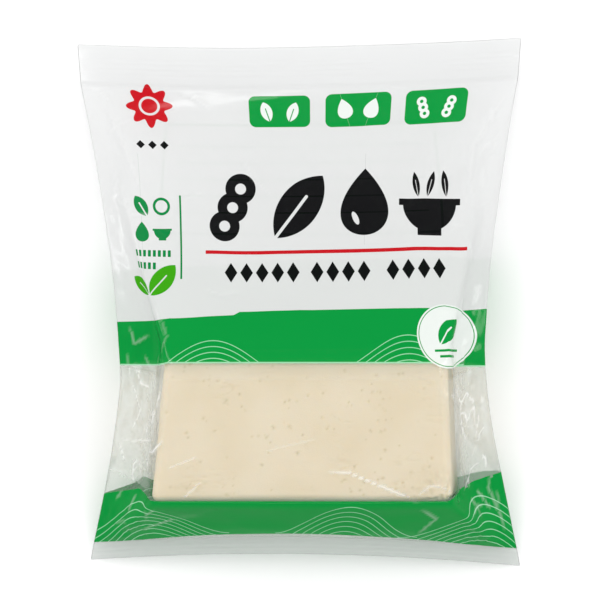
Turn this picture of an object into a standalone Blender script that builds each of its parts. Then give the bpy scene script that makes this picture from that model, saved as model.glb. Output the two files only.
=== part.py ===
"""A block of tofu sealed in a clear film bag, lying on its back.

The bag is one closed solid. Its front and back are two sheets that meet all round, at the two
seals and at the side folds. +Y points to the top seal, +Z out of the front, and Z = 0 is the
surface that the pack lies on. Sizes are in metres.
"""
import math

import bmesh
import bpy

# The block inside the bag, which gives the bag its height
BLOCK_WIDTH_LOW = 0.133      # across its lower end, toward the bottom seal
BLOCK_WIDTH_HIGH = 0.121     # across its upper end
BLOCK_LENGTH = 0.067
BLOCK_DEPTH = 0.054
BLOCK_LOW_Y = -0.0895
BLOCK_HIGH_Y = BLOCK_LOW_Y + BLOCK_LENGTH
SKIN = 0.0015                # film and a little water round the block

# The seals, each a flat strip of two layers
SEAL_THICK = 0.0009
TOP_SEAL = 0.020
SEAM_SHRINK = 0.985          # a seal's inner line is drawn in to this share of its width
BOTTOM_SEAL = 0.0085
SEAL_HALF = 0.1066           # half the width of the bag where it lies flat
TOP_Y = 0.1214
TOP_LIFT = 0.012             # height of the middle of the top seal
BOTTOM_Y = -0.1188
BOTTOM_LIFT = 0.0235         # height of the middle of the bottom seal, which arches
CORNER_LIFT = 0.0035         # height of its two ends
BOTTOM_MID_X = 0.0028
BOTTOM_HALF = 0.1034

# The waist, where the bag pulls in beside the block
LEFT_WAIST = (-0.0845, -0.035)     # X, Y
RIGHT_WAIST = (0.0873, -0.020)
WAIST_LIFT = 0.034
HOLLOW_REACH = 0.045         # the sides are drawn in beside the block, and this far above it
HOLLOW_X, HOLLOW_Z = 1.7, 0.6      # powers of a drawn-in side: 1 and 1 would be straight
PANEL_SAG = 0.003            # the front panel hangs this far between its ridges, above the block
END_SAG = 0.005              # and this far between the block's lower end and the bottom seal
SIDE_POWER_UP = 1.6
SIDE_POWER_DOWN = 1.42
FOLD_POWER = 1.7             # how roundly the side fold comes down from its highest point

# Where the front and back panels bend, as shares of the half width
RIDGE = 0.80
RIDGE_AT_SEAL = 0.93
FLAT_BACK_Y = 0.058          # the back panel lies flat up to here
ACROSS = (0.0, 0.25, 0.5, 0.7, RIDGE, 0.84, 0.89, 0.945, 1.0)
END_ROWS = 4                 # rows of faces from the bottom seal to the block
ROUND = 0.0045               # rows this near the block's ends turn its edges
UPPER_ROWS = 9
SUBDIVISIONS = 1
FILM_COLOUR = (0.78, 0.82, 0.74, 1.0)


def mix(a, b, t):
    return a + (b - a) * t


def top_edge(u):
    """Outer edge of the top seal at u, from -1 at its left end to 1 at its right."""
    return (SEAL_HALF * u,
            TOP_Y + 0.0017 * u + 0.0035 * u * u,
            TOP_LIFT - 0.005 * u * u + 0.0012 * math.sin(5 * u))


def bottom_edge(u):
    """Outer edge of the bottom seal, which is drawn up in the middle by the block."""
    return (BOTTOM_MID_X + BOTTOM_HALF * u,
            BOTTOM_Y - 0.0015 * u - 0.0063 * u * u,
            mix(BOTTOM_LIFT, CORNER_LIFT, u * u))


def top_seam(u):
    """Inner line of the top seal."""
    x, y, z = top_edge(u)
    return (SEAM_SHRINK * x, y - TOP_SEAL, z)


def bottom_seam(u):
    """Inner line of the bottom seal."""
    x, y, z = bottom_edge(u)
    return (SEAM_SHRINK * x, y + BOTTOM_SEAL, z + 0.1 * BOTTOM_SEAL)


def side_fold(y, hand):
    """X and Z of the bag's side fold at y, on the left (hand -1) or the right (hand 1)."""
    waist_x, waist_y = LEFT_WAIST if hand < 0 else RIGHT_WAIST
    up = y > waist_y
    corner = top_seam(hand) if up else bottom_seam(hand)
    power = SIDE_POWER_UP if up else SIDE_POWER_DOWN
    reach = min(1.0, (y - waist_y) / (corner[1] - waist_y))
    x = mix(waist_x, corner[0], reach ** power)
    z = mix(WAIST_LIFT, corner[2], reach ** FOLD_POWER)
    return x, z


def upward(y):
    """0 at the block's upper end, 1 at the inner line of the top seal."""
    return max(0.0, min(1.0, (y - BLOCK_HIGH_Y) / (TOP_Y - TOP_SEAL - BLOCK_HIGH_Y)))


def along_block(y):
    """0 at the block's lower end, 1 at its upper end."""
    return max(0.0, min(1.0, (y - BLOCK_LOW_Y) / BLOCK_LENGTH))


def drawn_in(y):
    """1 beside the block, where the film falls in towards it, and 0 well above it."""
    return max(0.0, 1 - max(0.0, y - BLOCK_HIGH_Y) / HOLLOW_REACH)


def front_ridge(y):
    """Half width and height of the two ridges where the front panel bends down to the sides."""
    block = 0.5 * mix(BLOCK_WIDTH_LOW, BLOCK_WIDTH_HIGH, along_block(y)) + SKIN
    half = mix(block, RIDGE_AT_SEAL * SEAL_HALF, upward(y))
    return half, mix(BLOCK_DEPTH + 2 * SKIN, TOP_LIFT - 0.002, upward(y))


def back_bend(y):
    """Half width and height of the lines where the back panel leaves the surface."""
    block = 0.5 * mix(BLOCK_WIDTH_LOW, BLOCK_WIDTH_HIGH, along_block(y)) + 2 * SKIN
    half = mix(block, RIDGE_AT_SEAL * SEAL_HALF, upward(y) ** 0.7)
    rise = max(0.0, (y - FLAT_BACK_Y) / (TOP_Y - TOP_SEAL - FLAT_BACK_Y))
    return half, (TOP_LIFT - 0.003) * rise ** 1.5


def section(y, u, front):
    """Point of the front or back panel at y, u of the way across."""
    hand = -1 if u < 0 else 1
    half, height = front_ridge(y) if front else back_bend(y)
    across = abs(u)
    if across <= RIDGE:
        hang = PANEL_SAG * math.sin(math.pi * upward(y)) * (1 - (across / RIDGE) ** 2)
        return (hand * half * across / RIDGE, y, height - (hang if front else 0))
    out = (across - RIDGE) / (1 - RIDGE)
    edge_x, edge_z = side_fold(y, hand)
    power_x, power_z = mix(1, HOLLOW_X, drawn_in(y)), mix(1, HOLLOW_Z, drawn_in(y))
    return (mix(hand * half, edge_x, out ** power_x), y, mix(height, edge_z, out ** power_z))


def seal_share(u):
    """The same column of the cage, as a share of a seal's width."""
    across = abs(u)
    if across <= RIDGE:
        share = RIDGE_AT_SEAL * across / RIDGE
    else:
        share = mix(RIDGE_AT_SEAL, 1.0, (across - RIDGE) / (1 - RIDGE))
    return math.copysign(share, u)


def between(low, high, t):
    return tuple(mix(a, b, t) for a, b in zip(low, high))


def seal_row(edge, seam, share, thick):
    """A row of the cage on a seal, share of the way from its outer edge to its inner line."""
    def point(u, front):
        x, y, z = between(edge(seal_share(u)), seam(seal_share(u)), share)
        return (x, y, z + (thick if front else -thick) / 2)
    return point


def end_row(t):
    """A row from the bottom seal (t = 0) up to the block's lower end (t = 1)."""
    def point(u, front):
        x, y, z = between(bottom_seam(seal_share(u)), section(BLOCK_LOW_Y, u, front), t)
        if abs(u) == 1:
            x, z = side_fold(y, u)
        elif front:
            z -= END_SAG * math.sin(math.pi * t) * (1 - u * u)
        return (x, y, z)
    return point


def block_row(y):
    return lambda u, front: section(y, u, front)


def upper_row(t):
    """A row from the block's upper end (t = 0) to the top seal (t = 1)."""
    def point(u, front):
        seam_y = top_seam(seal_share(u))[1]
        x, y, z = section(mix(BLOCK_HIGH_Y, TOP_Y - TOP_SEAL, t), u, front)
        return (x, mix(BLOCK_HIGH_Y, seam_y, t), z)
    return point


def cage_rows():
    """Every row of the cage, from the bottom seal's outer edge to the top seal's."""
    rows = [seal_row(bottom_edge, bottom_seam, 0.0, 0.0)]
    rows += [seal_row(bottom_edge, bottom_seam, share, SEAL_THICK) for share in (0.12, 0.9)]
    rows += [end_row(k / END_ROWS) for k in range(1, END_ROWS)]
    rows += [block_row(BLOCK_LOW_Y), block_row(BLOCK_LOW_Y + ROUND)]
    rows += [block_row(mix(BLOCK_LOW_Y, BLOCK_HIGH_Y, t)) for t in (0.35, 0.65)]
    rows += [block_row(BLOCK_HIGH_Y - ROUND)]
    rows += [upper_row(t) for t in [0.0, 0.04] + [k / UPPER_ROWS for k in range(1, UPPER_ROWS)]]
    rows += [seal_row(top_edge, top_seam, share, SEAL_THICK) for share in (0.97, 0.5, 0.05)]
    rows += [seal_row(top_edge, top_seam, 0.0, 0.0)]
    return rows


def add_sheet(bm, rows, columns, front):
    """One panel of the bag: a flat grid whose corners move to their places."""
    across, along = len(columns) - 1, len(rows) - 1
    grid = bmesh.ops.create_grid(bm, x_segments=across, y_segments=along, size=0.5)["verts"]
    for vert in grid:
        u = columns[round((vert.co.x + 0.5) * across)]
        row = rows[round((vert.co.y + 0.5) * along)]
        vert.co = between(row(u, True), row(u, False), 0.5) if vert.is_boundary else row(u, front)
    crease_rim(bm, grid)
    if not front:
        faces = {face for vert in grid for face in vert.link_faces}
        bmesh.ops.reverse_faces(bm, faces=list(faces))


def crease_rim(bm, grid):
    """The sheets will meet in a sharp rim with four sharp corners."""
    edge_crease = bm.edges.layers.float["crease_edge"]
    corner_crease = bm.verts.layers.float["crease_vert"]
    for vert in grid:
        if len(vert.link_edges) == 2:
            vert[corner_crease] = 1.0
        for edge in vert.link_edges:
            if edge.is_boundary:
                edge[edge_crease] = 1.0


def film_material():
    material = bpy.data.materials.new("clear_film")
    material.use_nodes = True
    shader = material.node_tree.nodes["Principled BSDF"]
    shader.inputs["Base Color"].default_value = FILM_COLOUR
    shader.inputs["Roughness"].default_value = 0.25
    shader.inputs["Metallic"].default_value = 0.0
    return material


def build_pack(collection):
    """The sealed bag, as one closed solid out to its film."""
    columns = [-u for u in reversed(ACROSS[1:])] + list(ACROSS)
    rows = cage_rows()
    bm = bmesh.new()
    bm.edges.layers.float.new("crease_edge")
    bm.verts.layers.float.new("crease_vert")
    add_sheet(bm, rows, columns, front=True)
    add_sheet(bm, rows, columns, front=False)
    bmesh.ops.remove_doubles(bm, verts=bm.verts, dist=0.0001)
    mesh = bpy.data.meshes.new("tofu_pack")
    bm.to_mesh(mesh)
    bm.free()
    mesh.shade_smooth()
    mesh.materials.append(film_material())
    pack = bpy.data.objects.new("tofu_pack", mesh)
    collection.objects.link(pack)
    soften = pack.modifiers.new("soften", "SUBSURF")
    soften.levels = SUBDIVISIONS
    soften.render_levels = SUBDIVISIONS
    return pack


for old in list(bpy.data.objects):
    bpy.data.objects.remove(old)
parts = bpy.data.collections.new("tofu_block")
bpy.context.scene.collection.children.link(parts)
build_pack(parts)
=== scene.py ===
# %% [markdown]
# # A block of tofu sealed in a film bag
# The pack is a flat tube of clear film, closed by a seal at each end, with a block of tofu in its lower
# half. It lies on its back. The frame, the solid that holds its place and size, is already made. This
# lesson dresses it: a block of tofu, a film bag that a cloth simulation drapes round the block, the inks
# printed on the film, and a plain studio.

# %% Load the frame
import math

import bmesh
import bpy
import numpy as np
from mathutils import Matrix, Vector, noise


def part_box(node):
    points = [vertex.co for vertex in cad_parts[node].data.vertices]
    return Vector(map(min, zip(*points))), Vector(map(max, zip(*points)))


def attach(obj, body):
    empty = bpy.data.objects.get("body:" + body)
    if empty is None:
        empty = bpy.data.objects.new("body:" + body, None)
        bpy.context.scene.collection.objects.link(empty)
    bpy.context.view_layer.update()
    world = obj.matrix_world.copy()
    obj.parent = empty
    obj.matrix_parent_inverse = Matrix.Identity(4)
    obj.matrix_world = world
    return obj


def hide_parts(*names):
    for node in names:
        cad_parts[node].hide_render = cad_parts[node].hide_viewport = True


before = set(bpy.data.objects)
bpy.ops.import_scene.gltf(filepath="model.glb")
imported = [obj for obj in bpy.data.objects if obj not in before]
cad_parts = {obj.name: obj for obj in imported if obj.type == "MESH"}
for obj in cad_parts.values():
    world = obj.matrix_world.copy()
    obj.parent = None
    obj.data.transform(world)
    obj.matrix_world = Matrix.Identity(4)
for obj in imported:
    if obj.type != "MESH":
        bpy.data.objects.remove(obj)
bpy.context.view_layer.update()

BAG = "tofu_pack"
low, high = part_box(BAG)
print("the pack's box, mm:", [round(v * 1000, 1) for v in (*low, *high)])

# %% [markdown]
# ## Sizes
# Everything is in metres. The block and the bag repeat the sizes that the solid was built from. The bag
# is described twice: flat, as it comes off the machine, and in place, as two seals, two side folds and
# the ridges where the front panel bends over the block.

# %% Sizes of the block and the bag
BLOCK_WIDTH_LOW, BLOCK_WIDTH_HIGH = 0.1375, 0.1285
BLOCK_MIDDLE_LOW, BLOCK_MIDDLE_HIGH = 0.0011, 0.0029    # the block lies a little askew
BASE_SPREAD = {-1: 0.001, 1: 0.006}    # how much further out each side reaches at the back
BLOCK_LENGTH, BLOCK_DEPTH = 0.069, 0.054
BLOCK_LOW_Y = -0.0915
BLOCK_HIGH_Y = BLOCK_LOW_Y + BLOCK_LENGTH
BLOCK_LIFT = 0.0012                    # the film under the block, and a little water
FLAT_WIDTH, FLAT_LENGTH = 0.2135, 0.273
TOP_SEAL, BOTTOM_SEAL = 0.020, 0.0085
SEAL_GAP = 0.0003                      # between the two layers of a seal
SEAM_LOW = -FLAT_LENGTH / 2 + BOTTOM_SEAL
SEAM_HIGH = FLAT_LENGTH / 2 - TOP_SEAL
RIM_HALF = FLAT_WIDTH / 2
RIDGE_X = 0.067                        # where the flat front panel bends down beside the block


def mix(a, b, t):
    return a + (b - a) * t


def block_side(hand, up, down):
    """x of the block's left (-1) or right (1) side. Up runs 0-1 along the block, down front to back."""
    half = mix(BLOCK_WIDTH_LOW, BLOCK_WIDTH_HIGH, up) / 2
    return mix(BLOCK_MIDDLE_LOW, BLOCK_MIDDLE_HIGH, up) + hand * (half + BASE_SPREAD[hand] * down)


print("flat bag, mm:", FLAT_WIDTH * 1000, "by", FLAT_LENGTH * 1000)

# %% [markdown]
# ## Studio
# The camera looks straight down on the front of the pack. A long lens keeps the pack's sides from
# leaning. The floor is plain and pale. Film is mostly seen by what it mirrors, so sky and floor are
# dimmer in reflections, as behind black cards, and long softboxes give each crease its bright line.

# %% Camera, floor and lights
CAMERA_HEIGHT = 1.2
SKY_LIGHT, SKY_MIRRORED = 0.92, 0.14
FLOOR_WHITE, FLOOR_MIRRORED = 0.97, 0.22
scene = bpy.context.scene
camera = bpy.data.objects.new("camera", bpy.data.cameras.new("camera"))
camera.data.lens = 150.3
camera.location = (0.0002, 0.00095, CAMERA_HEIGHT)
scene.collection.objects.link(camera)
scene.camera = camera
scene.view_settings.view_transform = "Standard"


def principled(material):
    return material.node_tree.nodes["Principled BSDF"]


def new_material(name, colour=(0.8, 0.8, 0.8), roughness=0.5):
    material = bpy.data.materials.new(name)
    material.use_nodes = True
    shader = principled(material)
    shader.inputs["Base Color"].default_value = (*colour, 1)
    shader.inputs["Roughness"].default_value = roughness
    return material


def softbox(name, place, size, power, aim=(0, 0, 0)):
    lamp = bpy.data.lights.new(name, "AREA")
    lamp.shape = "RECTANGLE"
    lamp.size, lamp.size_y = size
    lamp.energy = power
    box = bpy.data.objects.new(name, lamp)
    box.location = place
    box.rotation_euler = (Vector(aim) - Vector(place)).to_track_quat("-Z", "Y").to_euler()
    scene.collection.objects.link(box)


softbox("left_strip", (-0.75, 0.25, 0.75), (0.10, 1.0), 2.8)
softbox("right_strip", (0.80, 0.05, 0.70), (0.10, 1.0), 2.4)
softbox("far_strip", (0.0, 1.15, 0.55), (1.2, 0.12), 3.6)
softbox("near_strip", (0.1, -0.9, 0.6), (1.0, 0.08), 0.9)


def mirrored_value(tree, plain, mirrored):
    """One value for whatever light falls on, another where a surface mirrors it."""
    ray = tree.nodes.new("ShaderNodeLightPath")
    swap = tree.nodes.new("ShaderNodeMapRange")
    swap.inputs["To Min"].default_value = plain
    swap.inputs["To Max"].default_value = mirrored
    tree.links.new(ray.outputs["Is Glossy Ray"], swap.inputs["Value"])
    return swap.outputs["Result"]


def make_world():
    world = bpy.data.worlds.new("studio")
    world.use_nodes = True
    tree = world.node_tree
    background = tree.nodes["Background"]
    background.inputs["Color"].default_value = (1, 1, 1, 1)
    tree.links.new(mirrored_value(tree, SKY_LIGHT, SKY_MIRRORED), background.inputs["Strength"])
    return world


def make_floor():
    bpy.ops.mesh.primitive_plane_add(size=6, location=(0, 0, 0))
    floor = bpy.context.object
    floor.name = "floor"
    material = new_material("floor", roughness=0.6)
    tree, shader = material.node_tree, principled(material)
    tree.links.new(mirrored_value(tree, FLOOR_WHITE, FLOOR_MIRRORED), shader.inputs["Base Color"])
    shader.inputs["Specular IOR Level"].default_value = 0.0
    floor.data.materials.append(material)
    return floor


scene.world = make_world()
make_floor()

# %% [markdown]
# ## The tofu
# Tofu is set in a press and cut with a wire, so the block is a box with soft edges and faces that are
# nearly flat. Curd is pressed in layers, which leave fine lines along its faces. It tapers a little, as its mould does. Six grids make the box, and each point is pulled
# on to the rounded block.
# Noise gives the faces their faint swells. Bubbles in the curd leave small pits, in clusters, and the
# lower right corner is crumbled. Each point keeps a share for the hollows it lies in: the pits, the crack
# lines and the crumbled corner. Later the material darkens its colour by that share, as painted shade.

# %% The block's blank
TOFU_CELL = 0.00068
TOFU_ROUND = 0.0038
rng = np.random.default_rng(12)


def box_of_grids(size, cell):
    """A closed box round the origin, made of six grids of square-ish faces."""
    bm = bmesh.new()
    for axis in range(3):
        across, along = [size[k] for k in range(3) if k != axis]
        for side in (-0.5, 0.5):
            grid = bmesh.ops.create_grid(bm, x_segments=round(across / cell),
                                         y_segments=round(along / cell), size=0.5)["verts"]
            for vert in grid:
                place = [vert.co.x * across, vert.co.y * along]
                place.insert(axis, side * size[axis])
                vert.co = place
    bmesh.ops.remove_doubles(bm, verts=bm.verts, dist=cell / 10)
    bmesh.ops.recalc_face_normals(bm, faces=bm.faces)
    return bm


def points_of(mesh):
    flat = np.empty(len(mesh.vertices) * 3, np.float32)
    mesh.vertices.foreach_get("co", flat)
    return flat.reshape(-1, 3)


def noise_at(points, scale):
    """Smooth noise between -1 and 1 at each point. The scale is in swells per metre."""
    return np.array([noise.noise(Vector(point) * scale) for point in points.tolist()])


def rounded(points, size, radius):
    """Pulls points of a box's surface on to the same box with rounded edges, and gives the way out."""
    half = np.array(size) / 2 - radius
    core = np.clip(points, -half, half)
    out = points - core
    out /= np.linalg.norm(out, axis=1)[:, None]
    return core + out * radius, out


# %% [markdown]
# Pits come from a seeded generator, so every run gives the same block.

# %% Pits and the crumbled corner
BLOCK_SIZE = (BLOCK_WIDTH_LOW, BLOCK_LENGTH, BLOCK_DEPTH)
PIT_CLUSTERS, LONE_PITS = 44, 90
CRUMBLED = np.array((BLOCK_WIDTH_LOW / 2 - 0.005, -BLOCK_LENGTH / 2 + 0.004, BLOCK_DEPTH / 2))
CRUMBLED_REACH = 0.014


def pit_places():
    """Each pit's place, radius and depth. Most are on the front face."""
    places = []
    clusters = [rng.integers(2, 7) for _ in range(PIT_CLUSTERS)] + [1] * LONE_PITS
    for count in clusters:
        axis = rng.choice(3, p=(0.1, 0.15, 0.75))
        centre = rng.uniform(-0.46, 0.46, 3) * BLOCK_SIZE
        centre[axis] = BLOCK_SIZE[axis] * (0.5 if rng.random() < 0.75 else -0.5)
        for _ in range(count):
            place = centre + rng.normal(0, 0.0026, 3) * (np.arange(3) != axis)
            radius = rng.uniform(0.0003, 0.00075)
            places.append((place, radius, radius * rng.uniform(0.5, 0.9)))
    return places


def make_tofu():
    bm = box_of_grids(BLOCK_SIZE, TOFU_CELL)
    mesh = bpy.data.meshes.new("tofu")
    bm.to_mesh(mesh)
    bm.free()
    points, out = rounded(points_of(mesh), BLOCK_SIZE, TOFU_ROUND)
    layers = noise_at(points * (0.2, 1, 1), 300)
    cracks = np.clip(1 - 14 * np.abs(layers), 0, 1) * np.clip(2.5 * noise_at(points, 55) - 0.3, 0, 1)
    swell = 0.00035 * noise_at(points, 45) + 0.00006 * layers - 0.00022 * cracks
    crumb = np.clip(1 - np.linalg.norm(points - CRUMBLED, axis=1) / CRUMBLED_REACH, 0, 1)
    lumps = np.abs(noise_at(points, 330)) + 0.5 * np.abs(noise_at(points, 700))
    depth = crumb * (0.0004 + 0.0022 * lumps)
    # Painted shade: a share that darkens the colour along the crack lines and in the crumbled corner, and
    # below in each pit.
    painted_hollow_shade = np.maximum(0.6 * crumb * np.clip(2.2 * lumps - 0.5, 0, 1), 0.35 * cracks)
    for centre, radius, deep in pit_places():
        dip = np.exp(-(np.linalg.norm(points - centre, axis=1) / radius) ** 2 * 1.4)
        depth += deep * dip
        painted_hollow_shade = np.maximum(painted_hollow_shade, dip)
    points += out * (swell - depth)[:, None]
    up, down = points[:, 1] / BLOCK_LENGTH + 0.5, 0.5 - points[:, 2] / BLOCK_DEPTH
    across = points[:, 0] / BLOCK_WIDTH_LOW + 0.5
    points[:, 0] = mix(block_side(-1, up, down), block_side(1, up, down), across)
    points += (0, BLOCK_LOW_Y + BLOCK_LENGTH / 2, BLOCK_LIFT + BLOCK_DEPTH / 2)
    mesh.vertices.foreach_set("co", points.ravel())
    # The painted shade is kept on each point for the material.
    mesh.attributes.new("hollow_shade", "FLOAT", "POINT").data.foreach_set("value", painted_hollow_shade.astype(np.float32))
    mesh.shade_smooth()
    tofu = bpy.data.objects.new("tofu", mesh)
    scene.collection.objects.link(tofu)
    return tofu


tofu = make_tofu()
print("tofu faces:", len(tofu.data.polygons))

# %% [markdown]
# ## The bag in place
# A simulation is only as good as its start. Instead of blowing a bag round a growing block, each point
# of the flat film is put straight on the wrapped form: across each row the film's width is shared out
# along the panel from side fold to side fold, and lengthwise along the path up over the block. The
# cloth solver then only has to even out the film, and its spare length turns into folds.

# %% The bag's wrapped form
SEAL_HALF = 0.1066
SEAM_SHRINK = 0.985
WAIST = {-1: (-0.0845, -0.035), 1: (0.0873, -0.020)}
WAIST_LIFT = 0.034
FOLD_POWER = 1.7                       # how roundly the side fold comes down from the waist
HOLLOW_REACH = 0.045                   # the sides are drawn in beside the block, and this far above it
HOLLOW_X, HOLLOW_Z = 1.7, 0.6          # powers of a drawn-in side: 1 and 1 would be straight
FILM_ROOM = 0.0018                     # the film starts this far off the block
FLOOR_ROOM = 0.0004
RIDGE_AT_SEAL = 0.93
FRONT_TOP = BLOCK_LIFT + BLOCK_DEPTH + FILM_ROOM


def top_edge(u):
    """Outer edge of the top seal, u from -1 at its left end to 1 at its right."""
    return Vector((SEAL_HALF * u, 0.1214 + 0.0017 * u + 0.0035 * u * u,
                   0.012 - 0.005 * u * u + 0.0012 * math.sin(5 * u)))


def bottom_edge(u):
    return Vector((0.0028 + 0.1034 * u, -0.1188 - 0.0015 * u - 0.0063 * u * u,
                   mix(0.0235, 0.0035, u * u)))


def top_seam(u):
    edge = top_edge(u)
    return Vector((SEAM_SHRINK * edge.x, edge.y - TOP_SEAL, edge.z))


def bottom_seam(u):
    edge = bottom_edge(u)
    return Vector((SEAM_SHRINK * edge.x, edge.y + BOTTOM_SEAL, edge.z + 0.1 * BOTTOM_SEAL))


def side_fold(y, hand):
    """The bag's side fold at y. It pulls in to a waist beside the block."""
    waist_x, waist_y = WAIST[hand]
    corner, power = (top_seam(hand), 1.6) if y > waist_y else (bottom_seam(hand), 1.42)
    reach = min(1.0, (y - waist_y) / (corner.y - waist_y))
    return Vector((mix(waist_x, corner.x, reach ** power), y,
                   mix(WAIST_LIFT, corner.z, reach ** FOLD_POWER)))


def block_end(high_end, front, hand=0):
    """Where a panel bends at an end of the block, in the middle or at its left or right corner."""
    x = block_side(hand, int(high_end), int(not front)) + hand * FILM_ROOM if hand else 0
    y = BLOCK_HIGH_Y + FILM_ROOM if high_end else BLOCK_LOW_Y - FILM_ROOM
    return Vector((x, y, FRONT_TOP if front else FLOOR_ROOM))


def panel_path(share, front):
    """Turns a share of the flat length into a stage: 0-1 end, 1-2 block, 2-3 up to the top seal."""
    stops = [bottom_seam(0), block_end(False, front), block_end(True, front), top_seam(0)]
    for stop in stops:
        stop.x = 0
    legs = [(b - a).length for a, b in zip(stops, stops[1:])]
    gone = share * sum(legs)
    for stage, leg in enumerate(legs):
        if gone <= leg or stage == 2:
            return stage + min(1.0, gone / leg)
        gone -= leg


def panel_line(stage, front, u, hand=0):
    """Point of a panel's lengthwise line at a stage: the middle's (hand 0) or a ridge's."""
    if stage < 1:
        return bottom_seam(u).lerp(block_end(False, front, hand), stage)
    if stage < 2:
        return block_end(False, front, hand).lerp(block_end(True, front, hand), stage - 1)
    start, end, rise = block_end(True, front, hand), top_seam(u), stage - 2
    point = start.lerp(end, rise)
    if not front:
        point.z = mix(start.z, end.z, rise ** 2.5)
        point.x = mix(start.x, end.x, rise ** 0.7)
    return point


def drawn_in(stage, y):
    """1 beside the block, where the film falls in towards it, 0 at the seals."""
    if stage < 1:
        return stage
    return max(0.0, 1 - max(0.0, y - BLOCK_HIGH_Y) / HOLLOW_REACH)


def wrapped(flat_x, flat_y, front):
    """Place on the wrapped form of a point of the flat bag."""
    across = flat_x / RIM_HALF
    hand = 1 if across >= 0 else -1
    share = (flat_y - SEAM_LOW) / (SEAM_HIGH - SEAM_LOW)
    stage = panel_path(share, front)
    ridge = panel_line(stage, front, RIDGE_AT_SEAL * hand, hand)
    fold = side_fold(mix(bottom_seam(hand).y, top_seam(hand).y, share), hand)
    turn = abs(ridge.x) / (abs(ridge.x) + (ridge - fold).length)
    if abs(across) > turn:
        out = (abs(across) - turn) / (1 - turn)
        point = ridge.lerp(fold, out)
        hollow = drawn_in(stage, point.y)
        point.x = mix(ridge.x, fold.x, out ** mix(1, HOLLOW_X, hollow))
        point.z = mix(ridge.z, fold.z, out ** mix(1, HOLLOW_Z, hollow))
        return point
    middle = panel_line(stage, front, RIDGE_AT_SEAL * across / turn)
    return Vector((ridge.x * abs(across) / turn, middle.y, middle.z))


def sealed(flat_x, flat_y):
    """Place of a point of either seal."""
    u = flat_x / RIM_HALF
    if flat_y > 0:
        return top_edge(u).lerp(top_seam(u), (FLAT_LENGTH / 2 - flat_y) / TOP_SEAL)
    return bottom_edge(u).lerp(bottom_seam(u), (FLAT_LENGTH / 2 + flat_y) / BOTTOM_SEAL)


# %% [markdown]
# The film is one closed mesh: two grids that share their rim. Both keep the flat place of every point
# in an attribute, which the solver takes as the film's rest shape and the inks as their drawing board.

# %% The film's mesh
FILM_CELL = 0.0026
SEAL_ROWS_TOP, SEAL_ROWS_BOTTOM = 12, 6
SHEET_GAP = 0.002
COLUMNS = np.linspace(-RIM_HALF, RIM_HALF, round(FLAT_WIDTH / FILM_CELL) + 1)
ROWS = np.concatenate([
    np.linspace(-FLAT_LENGTH / 2, SEAM_LOW, SEAL_ROWS_BOTTOM + 1)[:-1],
    np.linspace(SEAM_LOW, SEAM_HIGH, round((SEAM_HIGH - SEAM_LOW) / FILM_CELL) + 1),
    np.linspace(SEAM_HIGH, FLAT_LENGTH / 2, SEAL_ROWS_TOP + 1)[1:]])


def add_panel(bm, front, flat_layer):
    """The front or back panel with its share of both seals."""
    across, along = len(COLUMNS) - 1, len(ROWS) - 1
    side = 1 if front else -1
    grid = bmesh.ops.create_grid(bm, x_segments=across, y_segments=along, size=0.5)["verts"]
    for vert in grid:
        x = COLUMNS[round((vert.co.x + 0.5) * across)]
        y = ROWS[round((vert.co.y + 0.5) * along)]
        rim = vert.is_boundary
        in_seal = y <= SEAM_LOW + 1e-6 or y >= SEAM_HIGH - 1e-6
        gap = 0 if rim else side * (SEAL_GAP / 2 if in_seal else SHEET_GAP)
        vert[flat_layer] = Vector((x, y, gap))
        if in_seal:
            vert.co = sealed(x, y) + Vector((0, 0, gap))
        else:
            vert.co = wrapped(x, y, front or rim)
    faces = list({face for vert in grid for face in vert.link_faces})
    for face in faces:
        face.material_index = 0 if front else 1
    if not front:
        bmesh.ops.reverse_faces(bm, faces=faces)


def make_film():
    bm = bmesh.new()
    flat_layer = bm.verts.layers.float_vector.new("flat")
    add_panel(bm, True, flat_layer)
    add_panel(bm, False, flat_layer)
    bmesh.ops.remove_doubles(bm, verts=bm.verts, dist=2e-5)
    mesh = bpy.data.meshes.new("film")
    bm.to_mesh(mesh)
    bm.free()
    film = bpy.data.objects.new("film", mesh)
    scene.collection.objects.link(film)
    return film


def flat_places(mesh):
    flat = np.empty(len(mesh.vertices) * 3, np.float32)
    mesh.attributes["flat"].data.foreach_get("vector", flat)
    return flat.reshape(-1, 3)


film = make_film()
print("film faces:", len(film.data.polygons))

# %% [markdown]
# ## Draping the film
# Blender's Cloth modifier settles the bag. The seals are held, the side folds are held loosely so that
# the waist keeps its width, and the block is a collision body. The flat bag is the rest shape. Film
# hardly stretches, so tension is stiff and bending is low, and gravity matters little at this scale.

# %% Cloth simulation
DRAPE_FRAMES = 70


def collision_block():
    """A plain copy of the block for the film to rest on, with faces small enough to catch it."""
    bm = bmesh.new()
    bmesh.ops.create_cube(bm, size=1)
    for vert in bm.verts:
        x, y, z = vert.co
        vert.co = (block_side(-1 if x < 0 else 1, y + 0.5, 0.5 - z),
                   BLOCK_LOW_Y + (y + 0.5) * BLOCK_LENGTH, BLOCK_LIFT + (z + 0.5) * BLOCK_DEPTH)
    bmesh.ops.bevel(bm, geom=bm.edges[:], offset=0.005, segments=4, profile=0.5,
                    affect="EDGES", material=-1)
    long_edges = [edge for edge in bm.edges if edge.calc_length() > 0.02]
    bmesh.ops.subdivide_edges(bm, edges=long_edges, cuts=10, use_grid_fill=True)
    bmesh.ops.triangulate(bm, faces=bm.faces[:])
    mesh = bpy.data.meshes.new("drape_block")
    bm.to_mesh(mesh)
    bm.free()
    return bpy.data.objects.new("drape_block", mesh)


def collision_floor():
    mesh = bpy.data.meshes.new("drape_floor")
    bm = bmesh.new()
    bmesh.ops.create_grid(bm, x_segments=8, y_segments=8, size=0.5)
    bm.to_mesh(mesh)
    bm.free()
    board = bpy.data.objects.new("drape_floor", mesh)
    board.location.z = -0.0006
    return board


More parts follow.
